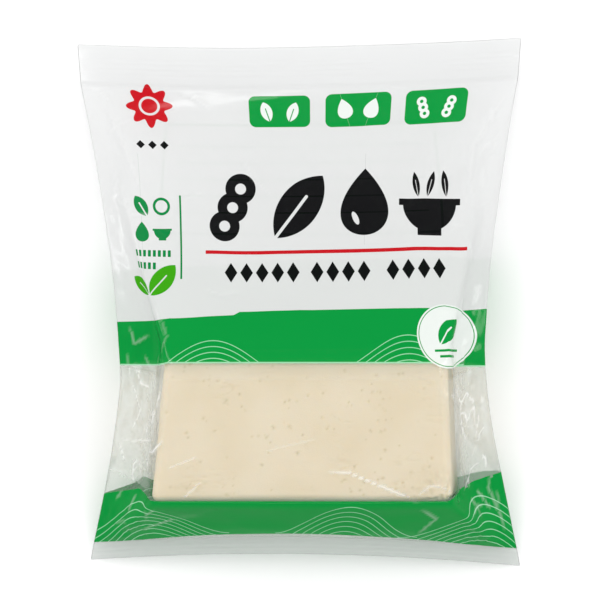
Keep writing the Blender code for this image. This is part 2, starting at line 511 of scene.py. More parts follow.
def drape(film):
    """Runs the cloth solver and returns the film's settled points."""
    bodies = [collision_block(), collision_floor()]
    for body, thick, grip in zip(bodies, (0.001, 0.0005), (1.0, 2.0)):
        scene.collection.objects.link(body)
        body.modifiers.new("body", "COLLISION")
        body.collision.thickness_outer = thick
        body.collision.thickness_inner = 0.02
        body.collision.cloth_friction = grip
        body.collision.damping = 0.5
    film.shape_key_add(name="wrapped")
    rest = film.shape_key_add(name="flat")
    flat = flat_places(film.data)
    rest.data.foreach_set("co", flat.ravel())
    rest.value = 0
    held = film.vertex_groups.new(name="held")
    for index, (x, y, _) in enumerate(flat):
        if y < SEAM_LOW + 1e-6 or y > SEAM_HIGH - 1e-6:
            held.add([index], 1.0, "REPLACE")
        elif abs(x) > RIM_HALF - 1e-6:
            held.add([index], 0.3, "REPLACE")
    cloth = film.modifiers.new("cloth", "CLOTH")
    cloth.point_cache.frame_end = DRAPE_FRAMES
    make = cloth.settings
    make.quality = 8
    make.mass = 0.0002
    make.air_damping = 1.0
    make.tension_stiffness = make.compression_stiffness = 60
    make.shear_stiffness = 30
    make.bending_stiffness = 0.1
    make.tension_damping = make.compression_damping = make.shear_damping = 10
    make.bending_damping = 1
    make.vertex_group_mass = "held"
    make.pin_stiffness = 50
    make.rest_shape_key = rest
    make.effector_weights.gravity = 0.3
    cloth.collision_settings.distance_min = 0.001
    cloth.collision_settings.collision_quality = 4
    for step in range(1, DRAPE_FRAMES + 1):
        scene.frame_set(step)
    settled = film.evaluated_get(bpy.context.evaluated_depsgraph_get()).to_mesh()
    points = points_of(settled)
    scene.frame_set(1)
    film.modifiers.remove(cloth)
    film.shape_key_clear()
    film.vertex_groups.clear()
    for body in bodies:
        bpy.data.objects.remove(body)
    return points


start = points_of(film.data)
settled = drape(film)
print("the film moved at most, mm:", round(float(np.abs(settled - start).max()) * 1000, 1))

# %% [markdown]
# ## Finishing the film
# The solver leaves small steps where film meets block. A few rounds of smoothing on the panels take
# them out, the film is kept just clear of the block, and one subdivision rounds every fold.

# %% Smooth and subdivide
def neighbours(mesh):
    edges = np.empty(len(mesh.edges) * 2, np.int32)
    mesh.edges.foreach_get("vertices", edges)
    return edges.reshape(-1, 2)


def smooth(points, edges, loose, rounds, factor=0.5):
    """Moves the loose points towards the mean of their neighbours."""
    count = np.bincount(edges.ravel(), minlength=len(points))[:, None]
    for _ in range(rounds):
        total = np.zeros_like(points)
        np.add.at(total, edges[:, 0], points[edges[:, 1]])
        np.add.at(total, edges[:, 1], points[edges[:, 0]])
        mean = total / count
        points = np.where(loose[:, None], mix(points, mean, factor), points)
    return points


def clear_of_block(points, room):
    """Lifts points off the block, out through its nearest face."""
    points = points.copy()
    up = np.clip((points[:, 1] - BLOCK_LOW_Y) / BLOCK_LENGTH, 0, 1)
    down = np.clip((BLOCK_LIFT + BLOCK_DEPTH - points[:, 2]) / BLOCK_DEPTH, 0, 1)
    gaps = np.stack([block_side(1, up, down) + room - points[:, 0],
                     points[:, 0] - block_side(-1, up, down) + room,
                     BLOCK_HIGH_Y + room - points[:, 1], points[:, 1] - BLOCK_LOW_Y + room,
                     BLOCK_LIFT + BLOCK_DEPTH + room - points[:, 2],
                     points[:, 2] - BLOCK_LIFT + room], axis=1)
    inside = gaps.min(axis=1) > 0
    nearest = gaps.argmin(axis=1)
    for face, (axis, sign) in enumerate([(0, 1), (0, -1), (1, 1), (1, -1), (2, 1), (2, -1)]):
        pick = inside & (nearest == face)
        points[pick, axis] += sign * gaps[pick, face]
    return points


flat = flat_places(film.data)
in_panel = (flat[:, 1] > SEAM_LOW + 1e-6) & (flat[:, 1] < SEAM_HIGH - 1e-6)
panel_inside = in_panel & (np.abs(flat[:, 0]) < RIM_HALF - 1e-6)
edges = neighbours(film.data)
points = smooth(settled, edges, panel_inside, 2)
under = panel_inside & (points[:, 2] < 0.006) & (flat[:, 2] < 0)
points = smooth(points, edges, under, 8)
points[:, 2] = np.maximum(points[:, 2], 0.0003)
points = clear_of_block(points, 0.0006)
film.data.vertices.foreach_set("co", points.ravel())
film.data.update()


def applied(piece, kind, **settings):
    """Puts one modifier on a piece and makes its result the piece's own mesh."""
    modifier = piece.modifiers.new("finish", kind)
    for name, value in settings.items():
        setattr(modifier, name, value)
    view = piece.evaluated_get(bpy.context.evaluated_depsgraph_get())
    mesh = bpy.data.meshes.new_from_object(view)
    piece.modifiers.clear()
    old, piece.data = piece.data, mesh
    bpy.data.meshes.remove(old)


applied(film, "SUBSURF", levels=1, render_levels=1)
print("film triangles:", sum(len(p.vertices) - 2 for p in film.data.polygons))

# %% [markdown]
# ## Creases
# Handling leaves sharp creases in film, and they never come out. A crease is a bent line on the flat
# film. First the points of the mesh nearest to the line slide on to it, along the film, so that the
# fold stands on edges of its own without any new faces. Then the line is pushed out. The long creases
# are listed one by one. Short ones come from a seeded generator, where a bag is gripped: beside the block
# and in the corners.

# %% Crease lines, in millimetres on the flat film, each with its height
CREASE_HALF = 0.0012
CREASE_CATCH = 0.00066                 # half a cell of the mesh
FRONT_CREASES = [
    (0.35, [(-99, -9), (-97, -19), (-86, -12)]),
    (0.25, [(-76, 8), (-68, -11), (-74, -22)]),
    (0.30, [(-98, -68), (-86, -65), (-72, -60)]),
    (0.30, [(-102, -36), (-92, -52), (-98, -66)]),
    (0.30, [(-70, -33), (-79, -64)]),
    (0.20, [(-63, -74), (-57, -71), (-47, -67)]),
    (0.22, [(-53, -89), (-44, -78)]),
    (0.28, [(8, -74), (22, -75), (45, -86), (53, -92)]),
    (0.22, [(48, -87), (56, -81), (62, -82), (67, -87)]),
    (0.15, [(-22, -66), (12, -58)]),
    (0.35, [(82, -69), (88, -46), (93, -42), (97, -48), (96, -66)]),
    (0.30, [(80, -90), (88, -80), (99, -77)]),
    (0.45, [(-78, -117), (-58, -106)]),
    (0.35, [(50, -93), (60, -103), (55, -121)]),
    (0.35, [(101, -84), (98, -92), (101, -118)]),
    (0.40, [(-104, 115), (-98, 114), (-92, 108)]),
    (0.42, [(-95, 105), (-89, 85), (-81, 60)]),
    (0.38, [(-59, 114), (-52, 112), (-43, 104)]),
    (0.45, [(-29, 80), (-24, 70), (-14, 60)]),
    (0.28, [(-60, 58), (-50, 61)]),
    (0.42, [(103, 112), (89, 86), (88, 72), (92, 52)]),
    (0.35, [(89, 36), (94, 22)]),
    (0.40, [(-50, 13), (-41, 10), (-30, 11)]),
    (0.35, [(86, 7), (87, -2)]),
]
BACK_CREASES = [
    (0.35, [(-98, -30), (-88, -42), (-92, -60)]),
    (0.35, [(96, -28), (88, -48), (94, -70)]),
    (0.35, [(-80, 70), (-60, 84), (-38, 80)]),
    (0.35, [(30, 92), (55, 78), (82, 86)]),
    (0.30, [(-20, 20), (8, 34), (30, 24)]),
]
GRIPPED = [((-88, -62), (13, 30), 30), ((89, -58), (11, 32), 26),     # beside the block
           ((-93, 75), (9, 32), 12), ((95, 60), (8, 45), 13),         # up the sides
           ((-86, -108), (16, 7), 5), ((88, -107), (15, 7), 5)]       # the lower corners


def short_creases():
    """Creases of two legs that lie more or less along the bag, in millimetres."""
    creases = []
    for centre, spread, count in GRIPPED:
        for _ in range(count):
            place = np.array(centre) + rng.uniform(-1, 1, 2) * spread
            turn = rng.normal(0, 0.6)
            line = [tuple(place)]
            for _ in range(2):
                turn += rng.normal(0, 0.45)
                leg = rng.uniform(4, 9)
                place = place + (leg * math.sin(turn), leg * math.cos(turn))
                line.append(tuple(place))
            if all(abs(x) < 104 and -125 < y < 112 for x, y in line):
                creases.append((rng.uniform(0.18, 0.38), line))
    return creases


FRONT_CREASES += short_creases()
BACK_CREASES += short_creases()
print("creases:", len(FRONT_CREASES), "and", len(BACK_CREASES))

# %% Drawing the mesh to its creases
def nearest_on(line, flat):
    """For each flat place: distance to a bent line, the nearest place on it and how far along it lies."""
    corners = [np.array(corner) / 1000 for corner in line]
    legs = [np.linalg.norm(b - a) for a, b in zip(corners, corners[1:])]
    away, share, gone = np.full(len(flat), np.inf), np.zeros(len(flat)), 0.0
    place = flat[:, :2].copy()
    for a, b, leg in zip(corners, corners[1:], legs):
        t = np.clip((flat[:, :2] - a) @ (b - a) / leg ** 2, 0, 1)
        foot = a + t[:, None] * (b - a)
        distance = np.linalg.norm(flat[:, :2] - foot, axis=1)
        closer = distance < away
        away[closer], place[closer] = distance[closer], foot[closer]
        share[closer] = ((gone + t * leg) / sum(legs))[closer]
        gone += leg
    return away, place, share


def local_stretch(points, flat, edges):
    """How each point's place in space follows its place on the flat film, as a 3 by 2 matrix."""
    step = flat[edges[:, 1], :2] - flat[edges[:, 0], :2]
    move = points[edges[:, 1]] - points[edges[:, 0]]
    square, follow = np.zeros((len(flat), 2, 2)), np.zeros((len(flat), 3, 2))
    for end in (0, 1):
        np.add.at(square, edges[:, end], step[:, :, None] * step[:, None, :])
        np.add.at(follow, edges[:, end], move[:, :, None] * step[:, None, :])
    return follow @ np.linalg.inv(square + 1e-12 * np.eye(2))


def in_panels(flat):
    """1 on the panels, falling to 0 at the seams."""
    room = np.minimum(SEAM_HIGH - flat[:, 1], flat[:, 1] - SEAM_LOW)
    return np.clip(room / 0.004, 0, 1)


def back_points(mesh):
    is_back = np.zeros(len(mesh.vertices), int)
    for face in mesh.polygons:
        if face.material_index:
            is_back[list(face.vertices)] = 1
    return is_back


def draw_to_creases(mesh, is_back):
    flat, points = flat_places(mesh), points_of(mesh)
    stretch = local_stretch(points, flat, neighbours(mesh))
    loose = (np.abs(flat[:, 0]) < RIM_HALF - 0.003) & (in_panels(flat) > 0.5)
    nearest, move = np.full(len(flat), CREASE_CATCH), np.zeros((len(flat), 2))
    for back, creases in enumerate((FRONT_CREASES, BACK_CREASES)):
        for _, line in creases:
            away, place, _ = nearest_on(line, flat)
            closer = loose & (is_back == back) & (away < nearest)
            nearest[closer] = away[closer]
            move[closer] = (place - flat[:, :2])[closer]
    points += (stretch @ move[:, :, None])[:, :, 0]
    flat[:, :2] += move
    mesh.vertices.foreach_set("co", points.ravel())
    mesh.attributes["flat"].data.foreach_set("vector", flat.ravel())
    print("points drawn to creases:", int((nearest < CREASE_CATCH).sum()))


is_back = back_points(film.data)
draw_to_creases(film.data, is_back)

# %% [markdown]
# The relief is worked out from the flat places. A crease is a tent along its line that fades at both
# ends. Between the creases the crumpled film has low ridges, where a smooth noise changes its sign.
# A seal's ribs are what the heated jaws press in: waves along the seal, the same in both layers.
# Creases and rib crests also turn white in the colour: on a crease partly the film's own whitening and
# partly painted highlight, on a rib crest painted highlight only.

# %% Creases, crumpled film and seal ribs
CRUMPLE_HEIGHT = 0.00045
TOP_RIBS, BOTTOM_RIBS = (0.1205, 0.1300, 0.0013), (-0.1358, -0.1290, 0.0021)
TOP_RIB_DEPTH, BOTTOM_RIB_DEPTH = 0.00014, 0.00020
SEAM_GROOVE = 0.0005


def crease_amount(flat, is_back):
    """How far each point is pushed out, in metres."""
    push = np.zeros(len(flat))
    for back, creases in enumerate((FRONT_CREASES, BACK_CREASES)):
        for height, line in creases:
            away, _, share = nearest_on(line, flat)
            fade = np.clip(6 * share * (1 - share), 0, 1)
            tent = height / 1000 * fade * np.clip(1 - away / CREASE_HALF, 0, 1)
            push = np.maximum(push, np.where(is_back == back, tent, 0))
    return push


def crumple(flat, is_back):
    """Low ridges in the film beside the block and up the sides, in metres."""
    x, y = np.abs(flat[:, 0]), flat[:, 1]
    beside = np.clip((x - RIDGE_X) / 0.012, 0, 1) * (0.3 + 0.7 * np.clip((-0.020 - y) / 0.01, 0, 1))
    at_rim = np.clip((RIM_HALF - x) / 0.004, 0, 1) * in_panels(flat)
    places = np.stack([flat[:, 0] * 1.7, y, 0.3 + is_back * 0.2], axis=1)
    ridges = 0.6 - 2.2 * np.abs(noise_at(places, 75)) + 0.5 - 1.5 * np.abs(noise_at(places, 170))
    calm = 0.25 * noise_at(places, 28) * (1 - beside)
    return CRUMPLE_HEIGHT * at_rim * (beside * ridges + calm)


def ribs(flat, low, high, pitch):
    """Waves between -1 and 1 along a seal, stronger and weaker in patches."""
    y = flat[:, 1]
    inside = np.clip((y - low) / pitch, 0, 1) * np.clip((high - y) / pitch, 0, 1)
    places = np.stack([flat[:, 0], y * 0.2, np.full(len(flat), pitch * 100)], axis=1)
    patches = np.clip(0.65 + 0.9 * noise_at(places, 34), 0, 1)
    return inside * patches * np.cos(2 * math.pi * (y - low) / pitch)


def relief(film):
    mesh = film.data
    flat, points = flat_places(mesh), points_of(mesh)
    normals = np.empty(len(mesh.vertices) * 3, np.float32)
    mesh.vertex_normals.foreach_get("vector", normals)
    push = crease_amount(flat, is_back)
    top, bottom = ribs(flat, *TOP_RIBS), ribs(flat, *BOTTOM_RIBS)
    points += normals.reshape(-1, 3) * (push + crumple(flat, is_back))[:, None]
    points[:, 2] += TOP_RIB_DEPTH * top + BOTTOM_RIB_DEPTH * bottom
    for seam, width in ((SEAM_HIGH, 0.0016), (SEAM_LOW, 0.0009)):
        points[:, 2] -= SEAM_GROOVE * np.clip(1 - np.abs(flat[:, 1] - seam) / width, 0, 1)
    points[:, 2] = np.maximum(points[:, 2], 0.0002)
    mesh.vertices.foreach_set("co", points.ravel())
    # Whitening and painted highlight: crease lines whiten as folded film does and also stand in for their
    # bright lines; seal rib crests whiten only as painted highlight.
    whitening_and_highlight_share = np.clip(3600 * push - 0.3, 0, 1) + np.clip(0.3 * top + 0.6 * bottom, 0, 1)
    mesh.attributes.new("whitening_and_highlight", "FLOAT", "POINT").data.foreach_set("value", whitening_and_highlight_share.astype(np.float32))
    mesh.update()
    mesh.shade_smooth()


relief(film)
print("film triangles:", sum(len(p.vertices) - 2 for p in film.data.polygons))

# %% [markdown]
# ## Tofu material
# Tofu is wet, pale and slightly see-through, so its colour is soft and warm and light travels a little
# way in. Its hollows get a darker colour, which is painted shade.

# %% Tofu material
# The third colour is painted shade, laid where the surface is hollow: pits, crack lines and the crumbled
# corner.
TOFU_LIGHT, TOFU_DARK, HOLLOW_SHADE_COLOUR = (0.755, 0.665, 0.515), (0.73, 0.63, 0.465), (0.63, 0.54, 0.345)


def noise_value(tree, place, scale, detail=2.0):
    """Noise between 0 and 1 on a piece's own coordinates."""
    node = tree.nodes.new("ShaderNodeTexNoise")
    node.inputs["Scale"].default_value = scale
    node.inputs["Detail"].default_value = detail
    tree.links.new(place, node.inputs["Vector"])
    return node.outputs["Fac"]


def blended(tree, share, first, second):
    """One colour over another."""
    node = tree.nodes.new("ShaderNodeMix")
    node.data_type = "RGBA"
    tree.links.new(share, node.inputs[0])
    for slot, value in ((6, first), (7, second)):
        if isinstance(value, tuple):
            node.inputs[slot].default_value = (*value, 1)
        else:
            tree.links.new(value, node.inputs[slot])
    return node.outputs[2]


def make_tofu_material():
    material = new_material("tofu_curd", TOFU_LIGHT, 0.38)
    tree, shader = material.node_tree, principled(material)
    place = tree.nodes.new("ShaderNodeTexCoord").outputs["Object"]
    spread = tree.nodes.new("ShaderNodeMapRange")
    spread.inputs["From Min"].default_value, spread.inputs["From Max"].default_value = 0.35, 0.68
    tree.links.new(noise_value(tree, place, 38, 3), spread.inputs["Value"])
    hollow_shade = tree.nodes.new("ShaderNodeAttribute")
    hollow_shade.attribute_name = "hollow_shade"
    colour = blended(tree, spread.outputs["Result"], TOFU_LIGHT, TOFU_DARK)
    # Painted shade: the colour turns darker where the block's surface is hollow.
    colour = blended(tree, hollow_shade.outputs["Fac"], colour, HOLLOW_SHADE_COLOUR)
    tree.links.new(colour, shader.inputs["Base Color"])
    bump = tree.nodes.new("ShaderNodeBump")
    bump.inputs["Strength"].default_value = 0.35
    bump.inputs["Distance"].default_value = 0.0002
    tree.links.new(noise_value(tree, place, 1500, 4), bump.inputs["Height"])
    tree.links.new(bump.outputs["Normal"], shader.inputs["Normal"])
    shader.inputs["Specular IOR Level"].default_value = 0.25
    shader.inputs["Subsurface Weight"].default_value = 0.3
    shader.inputs["Subsurface Radius"].default_value = (1.0, 0.7, 0.4)
    shader.inputs["Subsurface Scale"].default_value = 0.004
    return material


tofu.data.materials.append(make_tofu_material())

# %% [markdown]
# ## The print
# The print is flat colour on the inside of the film: a milky upper half, two green bands with hill lines,
# and plain pictures of leaves, beans, drops and bowls. Each shape is worked out in the shader from
# distances on the flat film, so its edge stays sharp at any size. A small helper lets shader sums be
# written like ordinary ones.

# %% Sums with sockets
class Wire:
    """A value in a shader. Its sums add Math nodes."""

    def __init__(self, tree, socket):
        self.tree, self.socket = tree, socket

    def math(self, operation, *others):
        node = self.tree.nodes.new("ShaderNodeMath")
        node.operation = operation
        for slot, value in zip(node.inputs, (self, *others)):
            if isinstance(value, Wire):
                self.tree.links.new(value.socket, slot)
            else:
                slot.default_value = value
        return Wire(self.tree, node.outputs[0])

    def __add__(self, other):
        return self.math("ADD", other)

    def __sub__(self, other):
        return self.math("SUBTRACT", other)

    def __mul__(self, other):
        return self.math("MULTIPLY", other)

    def least(self, other):
        return self.math("MINIMUM", other)

    def most(self, other):
        return self.math("MAXIMUM", other)

    def size(self):
        return self.math("ABSOLUTE")


def length(x, y):
    return (x * x + y * y).math("SQRT")


def either(*distances):
    """The union of shapes: the nearest one counts."""
    nearest = distances[0]
    for distance in distances[1:]:
        nearest = nearest.least(distance)
    return nearest


def without(shape, *holes):
    for hole in holes:
        shape = shape.most(hole * -1)
    return shape


# %% [markdown]
# A shape is a distance in metres, negative inside. A point is a pair of wires. Turning or moving the
# point turns or moves what is drawn at it.

# %% Simple shapes
def at(point, centre, degrees=0.0):
    """The point seen from a shape's own centre and direction."""
    x, y = point[0] - centre[0], point[1] - centre[1]
    if degrees == 0:
        return x, y
    c, s = math.cos(math.radians(degrees)), math.sin(math.radians(degrees))
    return x * c + y * s, y * c - x * s


def disc(point, radius):
    return length(*point) - radius


def oval(point, half_width, half_height):
    return disc((point[0] * (half_height / half_width), point[1]), half_height)


def ring(point, radius, width):
    return disc(point, radius).size() - width / 2


def plate(point, width, height, corner=0.0003):
    """A box with rounded corners."""
    out_x = (point[0].size() - (width / 2 - corner)).most(0.0)
    out_y = (point[1].size() - (height / 2 - corner)).most(0.0)
    return length(out_x, out_y) - corner


def lozenge(point, half_width, half_height):
    slant = half_width / half_height
    return (point[0].size() + point[1].size() * slant - half_width) * 0.7


def leaf(point, tall, wide, vein=0.0007):
    """Two arcs that meet in points, with a bare vein from the base."""
    radius = (tall ** 2 / 4 + wide ** 2 / 4) / wide
    blade = length(point[0].size() + (radius - wide / 2), point[1]) - radius
    return without(blade, plate(at(point, (0, -0.18 * tall)), vein, 0.72 * tall, vein / 2.1))


def drop(point, radius):
    """A round drop that narrows to a tip above."""
    tall = 2.75 * radius
    down = ((point[1] * -1 + 0.62 * tall) * (1 / tall)).most(0.0).least(1.0)
    half = down * (down * -1 + 1.0).math("SQRT") * (radius / 0.385)
    return (point[0].size() - half) * 0.8


def bowl(point, radius):
    """A half disc with a rim bar and a foot."""
    half = disc(point, radius).most(point[1])
    rim = plate(at(point, (0, 0.06 * radius)), 2.3 * radius, 0.24 * radius)
    foot = plate(at(point, (0, -1.0 * radius)), 0.9 * radius, 0.3 * radius)
    return either(half, rim, foot)


def pod(point, radius):
    """Three beans in a row, with a bare dot in each."""
    beans = [disc(at(point, (0, step * 1.35 * radius)), radius) for step in (-1, 0, 1)]
    dots = [disc(at(point, (0, step * 1.35 * radius)), 0.36 * radius) for step in (-1, 0, 1)]
    return without(either(*beans), *dots)


def rosette(point, radius, petals=8):
    angle = point[1].math("ARCTAN2", point[0])
    wave = (angle * petals).math("COSINE") * (0.16 * radius)
    return disc(point, 0.84 * radius) - wave


def row_of(point, pitch, count, shape):
    """Repeats a shape along x, centred on the point."""
    cell = (point[0] * (1 / pitch) + 0.5 * (count - 1)).math("ROUND").most(0.0).least(count - 1)
    return shape((point[0] - (cell - 0.5 * (count - 1)) * pitch, point[1]))


def hills(point, centre, height, half_width, pitch, count, width=0.00042):
    """Lines like contour lines on a hill: copies of one hilltop curve, each a pitch below the last."""
    x, y = at(point, centre)
    along = (x * (1 / half_width)).most(-1.0).least(1.0)
    top = (along * math.pi).math("COSINE") * (height / 2) - height / 2
    down = top - y
    line = (down * (1 / pitch)).math("ROUND").most(0.0).least(count - 1) * pitch
    return ((down - line).size() - width / 2).most(x.size() - half_width)


# %% [markdown]
# The edges of the bands bend where the panel bends, so that they look straight on the pack. The hill
# lines of the upper band stop at its lower edge, which has a thin pale border.

# %% Places of the print, in metres on the flat film
BAND_LOW, BAND_HIGH = -0.0236, 0.0001
BAND_STEP_X, BAND_STEP = -0.034, 0.0014
FOOT_HIGH = -0.0884
BADGES = [((-0.0098, 0.1040), (0.0300, 0.0165)), ((0.0288, 0.1046), (0.0322, 0.0170)),
          ((0.0672, 0.1049), (0.0305, 0.0172))]
BADGE_TILT = 0.9
WEIGHT_BADGE = (0.0742, -0.0108)
WEIGHT_RADIUS = 0.0157
ORNAMENT = (-0.0737, 0.1066)
COLUMN_X = (-0.0822, -0.0716)
TITLE_Y = 0.0545
SPROUT = (-0.0790, 0.0090)


def beyond_ridge(point):
    return (point[0].size() - RIDGE_X).most(0)


def band_low_edge(point):
    return beyond_ridge(point) * -0.2 + BAND_LOW


def band_high_edge(point):
    """It climbs from the left, with a small step where the film was pleated."""
    x = point[0]
    step = ((x - BAND_STEP_X) * 333).most(0).least(1) * BAND_STEP
    climb = (x - BAND_STEP_X).least(0) * 0.055 + (x.least(0).most(BAND_STEP_X) - BAND_STEP_X) * 0.04
    return climb + step + beyond_ridge(point) * -0.135 + BAND_HIGH


def foot_edge(point):
    """It follows the block's lower edge, then drops in the left corner and climbs in the right."""
    x = point[0]
    drop = (x * -1 - 0.083).most(0) * 0.5
    climb = (x - 0.062).most(0).least(0.019) * 0.42
    return climb - drop + FOOT_HIGH


def above(point, edge):
    return edge - point[1]


def below(point, edge):
    return point[1] - edge


def badges(point):
    return either(*(plate(at(point, centre, BADGE_TILT), *size, 0.0034) for centre, size in BADGES))


def badge_pictures(point):
    shapes = []
    pictures = (lambda p: leaf(p, 0.0105, 0.0056, 0.0005), lambda p: drop(p, 0.0037),
                lambda p: pod(p, 0.0024))
    for (centre, _), picture in zip(BADGES, pictures):
        for side in (-1, 1):
            place = at(point, (centre[0] + side * 0.0064, centre[1] - 0.0004), side * -18)
            shapes.append(picture(place))
    return either(*shapes)


def title(point):
    """Four bold pictures in a row."""
    beans = pod(at(point, (-0.0347, TITLE_Y), -24), 0.0078)
    blade = leaf(at(point, (-0.0004, TITLE_Y), -38), 0.0400, 0.0205, 0.0016)
    water = without(drop(at(point, (0.0336, TITLE_Y - 0.0022)), 0.0124),
                    oval(at(point, (0.0290, TITLE_Y - 0.0065), 25), 0.0014, 0.0036))
    dish = bowl(at(point, (0.0678, TITLE_Y + 0.0005)), 0.0142)
    steam = [leaf(at(point, (0.0678 + side, TITLE_Y + 0.0105), tilt), 0.0135, 0.0036, 0.0003)
             for side, tilt in ((-0.0075, 12), (0.0, -12), (0.0075, 12))]
    return either(beans, blade, water, dish, *steam)


def caption(point):
    """Three groups of lozenges under the rule."""
    groups = []
    for x, count in ((-0.0195, 5), (0.0212, 4), (0.0604, 4)):
        place = at(point, (x, 0.0214 + 0.012 * x), 0.7)
        groups.append(row_of(place, 0.0081, count, lambda p: lozenge(p, 0.0033, 0.0050)))
    return either(*groups)


def side_column(point):
    """Four small pictures, a dashed line or two, and the upright rule beside them."""
    left, right = COLUMN_X
    shapes = [leaf(at(point, (left, 0.0545), 30), 0.0118, 0.0064, 0.0007),
              ring(at(point, (right, 0.0545)), 0.0038, 0.0014),
              drop(at(point, (left, 0.0405)), 0.0036),
              bowl(at(point, (right, 0.0425)), 0.0044),
              plate(at(point, (-0.0618, 0.0392)), 0.0010, 0.0420),
              row_of(at(point, (-0.0772, 0.0308)), 0.0026, 8, lambda p: plate(p, 0.0016, 0.0034)),
              row_of(at(point, (-0.0811, 0.0245)), 0.0026, 5, lambda p: plate(p, 0.0016, 0.0034))]
    return either(*shapes)


def sprout(point):
    big = leaf(at(point, (SPROUT[0] + 0.0072, SPROUT[1] + 0.0082), -41), 0.0210, 0.0105)
    small = leaf(at(point, (SPROUT[0] - 0.0067, SPROUT[1] + 0.0044), 58), 0.0142, 0.0078, 0.0005)
    return either(big, small)


def weight_point(point):
    """The round badge lies over the ridge. Beyond it the print is stretched, and looks round there."""
    x, y = at(point, WEIGHT_BADGE)
    beyond = x.most(0)
    return x - beyond * 0.43, y + beyond * 0.18


def band_hills(point):
    groups = either(hills(point, (-0.0440, -0.0125), 0.0175, 0.0400, 0.0030, 5),
                    hills(point, (0.0540, -0.0103), 0.0175, 0.0390, 0.0030, 5))
    return groups.most(above(point, band_low_edge(point)))


def foot_hills(point):
    return either(hills(point, (-0.0743, -0.0932), 0.0300, 0.0390, 0.0047, 7, 0.0006),
                  hills(point, (0.0216, -0.0925), 0.0310, 0.0340, 0.0056, 6, 0.0006),
                  hills(point, (0.0880, -0.0940), 0.0310, 0.0420, 0.0047, 7, 0.0006))


# %% [markdown]
# Inks go on in order, like the stations of a press: each covers what lies under it. The film's own
# skin comes last. It mirrors a little, more at a glancing angle, and the rest goes through.

# %% Film material
INK_EDGE = 0.00014                     # how soft the edge of an ink is
MILK, MILK_COVER = (0.825, 0.83, 0.83), 0.84
GREEN, DEEP_GREEN = (0.002, 0.315, 0.050), (0.003, 0.24, 0.055)
LEAF_GREEN, PALE_GREEN = (0.048, 0.375, 0.006), (0.34, 0.72, 0.44)
WHITE, RED, BLACK = (0.84, 0.88, 0.85), (0.57, 0.005, 0.012), (0.005, 0.005, 0.006)
CLEAR = (0.992, 0.996, 0.99)
HAZE, SEAL_GREY = (0.80, 0.83, 0.80), (0.62, 0.65, 0.63)
BARE_WHITENING_AND_HIGHLIGHT, INKED_WHITENING_AND_HIGHLIGHT = 0.8, 0.22  # how white a full crease or rib crest turns on bare and on printed film, partly painted highlight
INK_GLOW = 0.2                         # the share of light that an ink lets through
FILM_ROUGHNESS, FILM_IOR, MOST_GLOSS = 0.12, 1.30, 0.30


def head_inks(point):
    """Each ink of a zone: its shape, its colour and how well it covers. No shape means all over."""
    flower = without(rosette(at(point, ORNAMENT), 0.0115), ring(at(point, ORNAMENT), 0.0046, 0.0012))
    studs = row_of(at(point, (-0.0742, 0.0865)), 0.0060, 3, lambda p: lozenge(p, 0.0022, 0.0022))
    return [(None, MILK, MILK_COVER), (badges(point), GREEN, 0.97),
            (badge_pictures(point), WHITE, 0.95), (flower, RED, 0.97), (studs, BLACK, 0.98)]


def title_inks(point):
    return [(None, MILK, MILK_COVER), (side_column(point), DEEP_GREEN, 0.97),
            (title(point), BLACK, 0.98)]


def caption_inks(point):
    rule = plate(at(point, (0.0195, 0.0316), 0.3), 0.1370, 0.0018)
    return [(None, MILK, MILK_COVER), (side_column(point), DEEP_GREEN, 0.97),
            (sprout(point), LEAF_GREEN, 0.97), (rule, RED, 0.97), (caption(point), BLACK, 0.98)]


def band_inks(point):
    over_edge = above(point, band_low_edge(point))
    band = over_edge.most(below(point, band_high_edge(point)))
    border = over_edge.size() - 0.00035
    spot = weight_point(point)
    picture = either(ring(spot, WEIGHT_RADIUS - 0.0010, 0.0004),
                     leaf(at(spot, (0, 0.0024), -35), 0.0155, 0.0082, 0.0007),
                     plate(at(spot, (0, -0.0070)), 0.0150, 0.0012),
                     plate(at(spot, (0, -0.0098)), 0.0100, 0.0012))
    return [(None, HAZE, 0.1), (over_edge, MILK, MILK_COVER), (band, GREEN, 0.97),
            (either(band_hills(point), border), PALE_GREEN, 0.9),
            (disc(spot, WEIGHT_RADIUS), WHITE, 0.95), (picture, GREEN, 0.97)]


def foot_inks(point):
    seam = point[1] * -1 + (SEAM_LOW + 0.0004)
    margin = seam + (point[0] * point[0] * -0.5 + 0.0032).most(0)
    return [(None, HAZE, 0.15), (seam * -1, SEAL_GREY, 0.5),
            (below(point, foot_edge(point)).most(margin), GREEN, 0.97),
            (foot_hills(point).most(margin), PALE_GREEN, 0.9)]


def label_inks(point):
    """The back's upper half: a bare panel ruled with thin lines."""
    panel = plate(at(point, (0.0, 0.070)), 0.1300, 0.0560, 0.0030)
    lines = [plate(at(point, (0.0, 0.070 + step * 0.0085)), 0.1180, 0.0008) for step in range(-2, 3)]
    return [(None, MILK, MILK_COVER), (either(panel.size() - 0.0006, *lines), GREEN, 0.97)]


def back_band_inks(point):
    over_edge = above(point, band_low_edge(point))
    band = over_edge.most(below(point, band_high_edge(point) + 0.026))
    return [(None, HAZE, 0.1), (over_edge, MILK, MILK_COVER), (band, GREEN, 0.97)]


def window_inks(point):
    """No ink, only a haze, which is stronger beside the block, where the film is crumpled."""
    beside = point[0].size() * 80 - 5.2
    beside.socket.node.use_clamp = True
    return [(None, HAZE, beside * 0.26 + 0.04)]


def covered(distance):
    """1 inside a shape and 0 outside, with a narrow soft edge."""
    share = distance.math("MULTIPLY_ADD", -1 / INK_EDGE, 0.5)
    share.socket.node.use_clamp = True
    return share


def joined(tree, share, first, second):
    node = tree.nodes.new("ShaderNodeMixShader")
    if isinstance(share, Wire):
        tree.links.new(share.socket, node.inputs[0])
    else:
        node.inputs[0].default_value = share
    tree.links.new(first.outputs[0], node.inputs[1])
    tree.links.new(second.outputs[0], node.inputs[2])
    return node


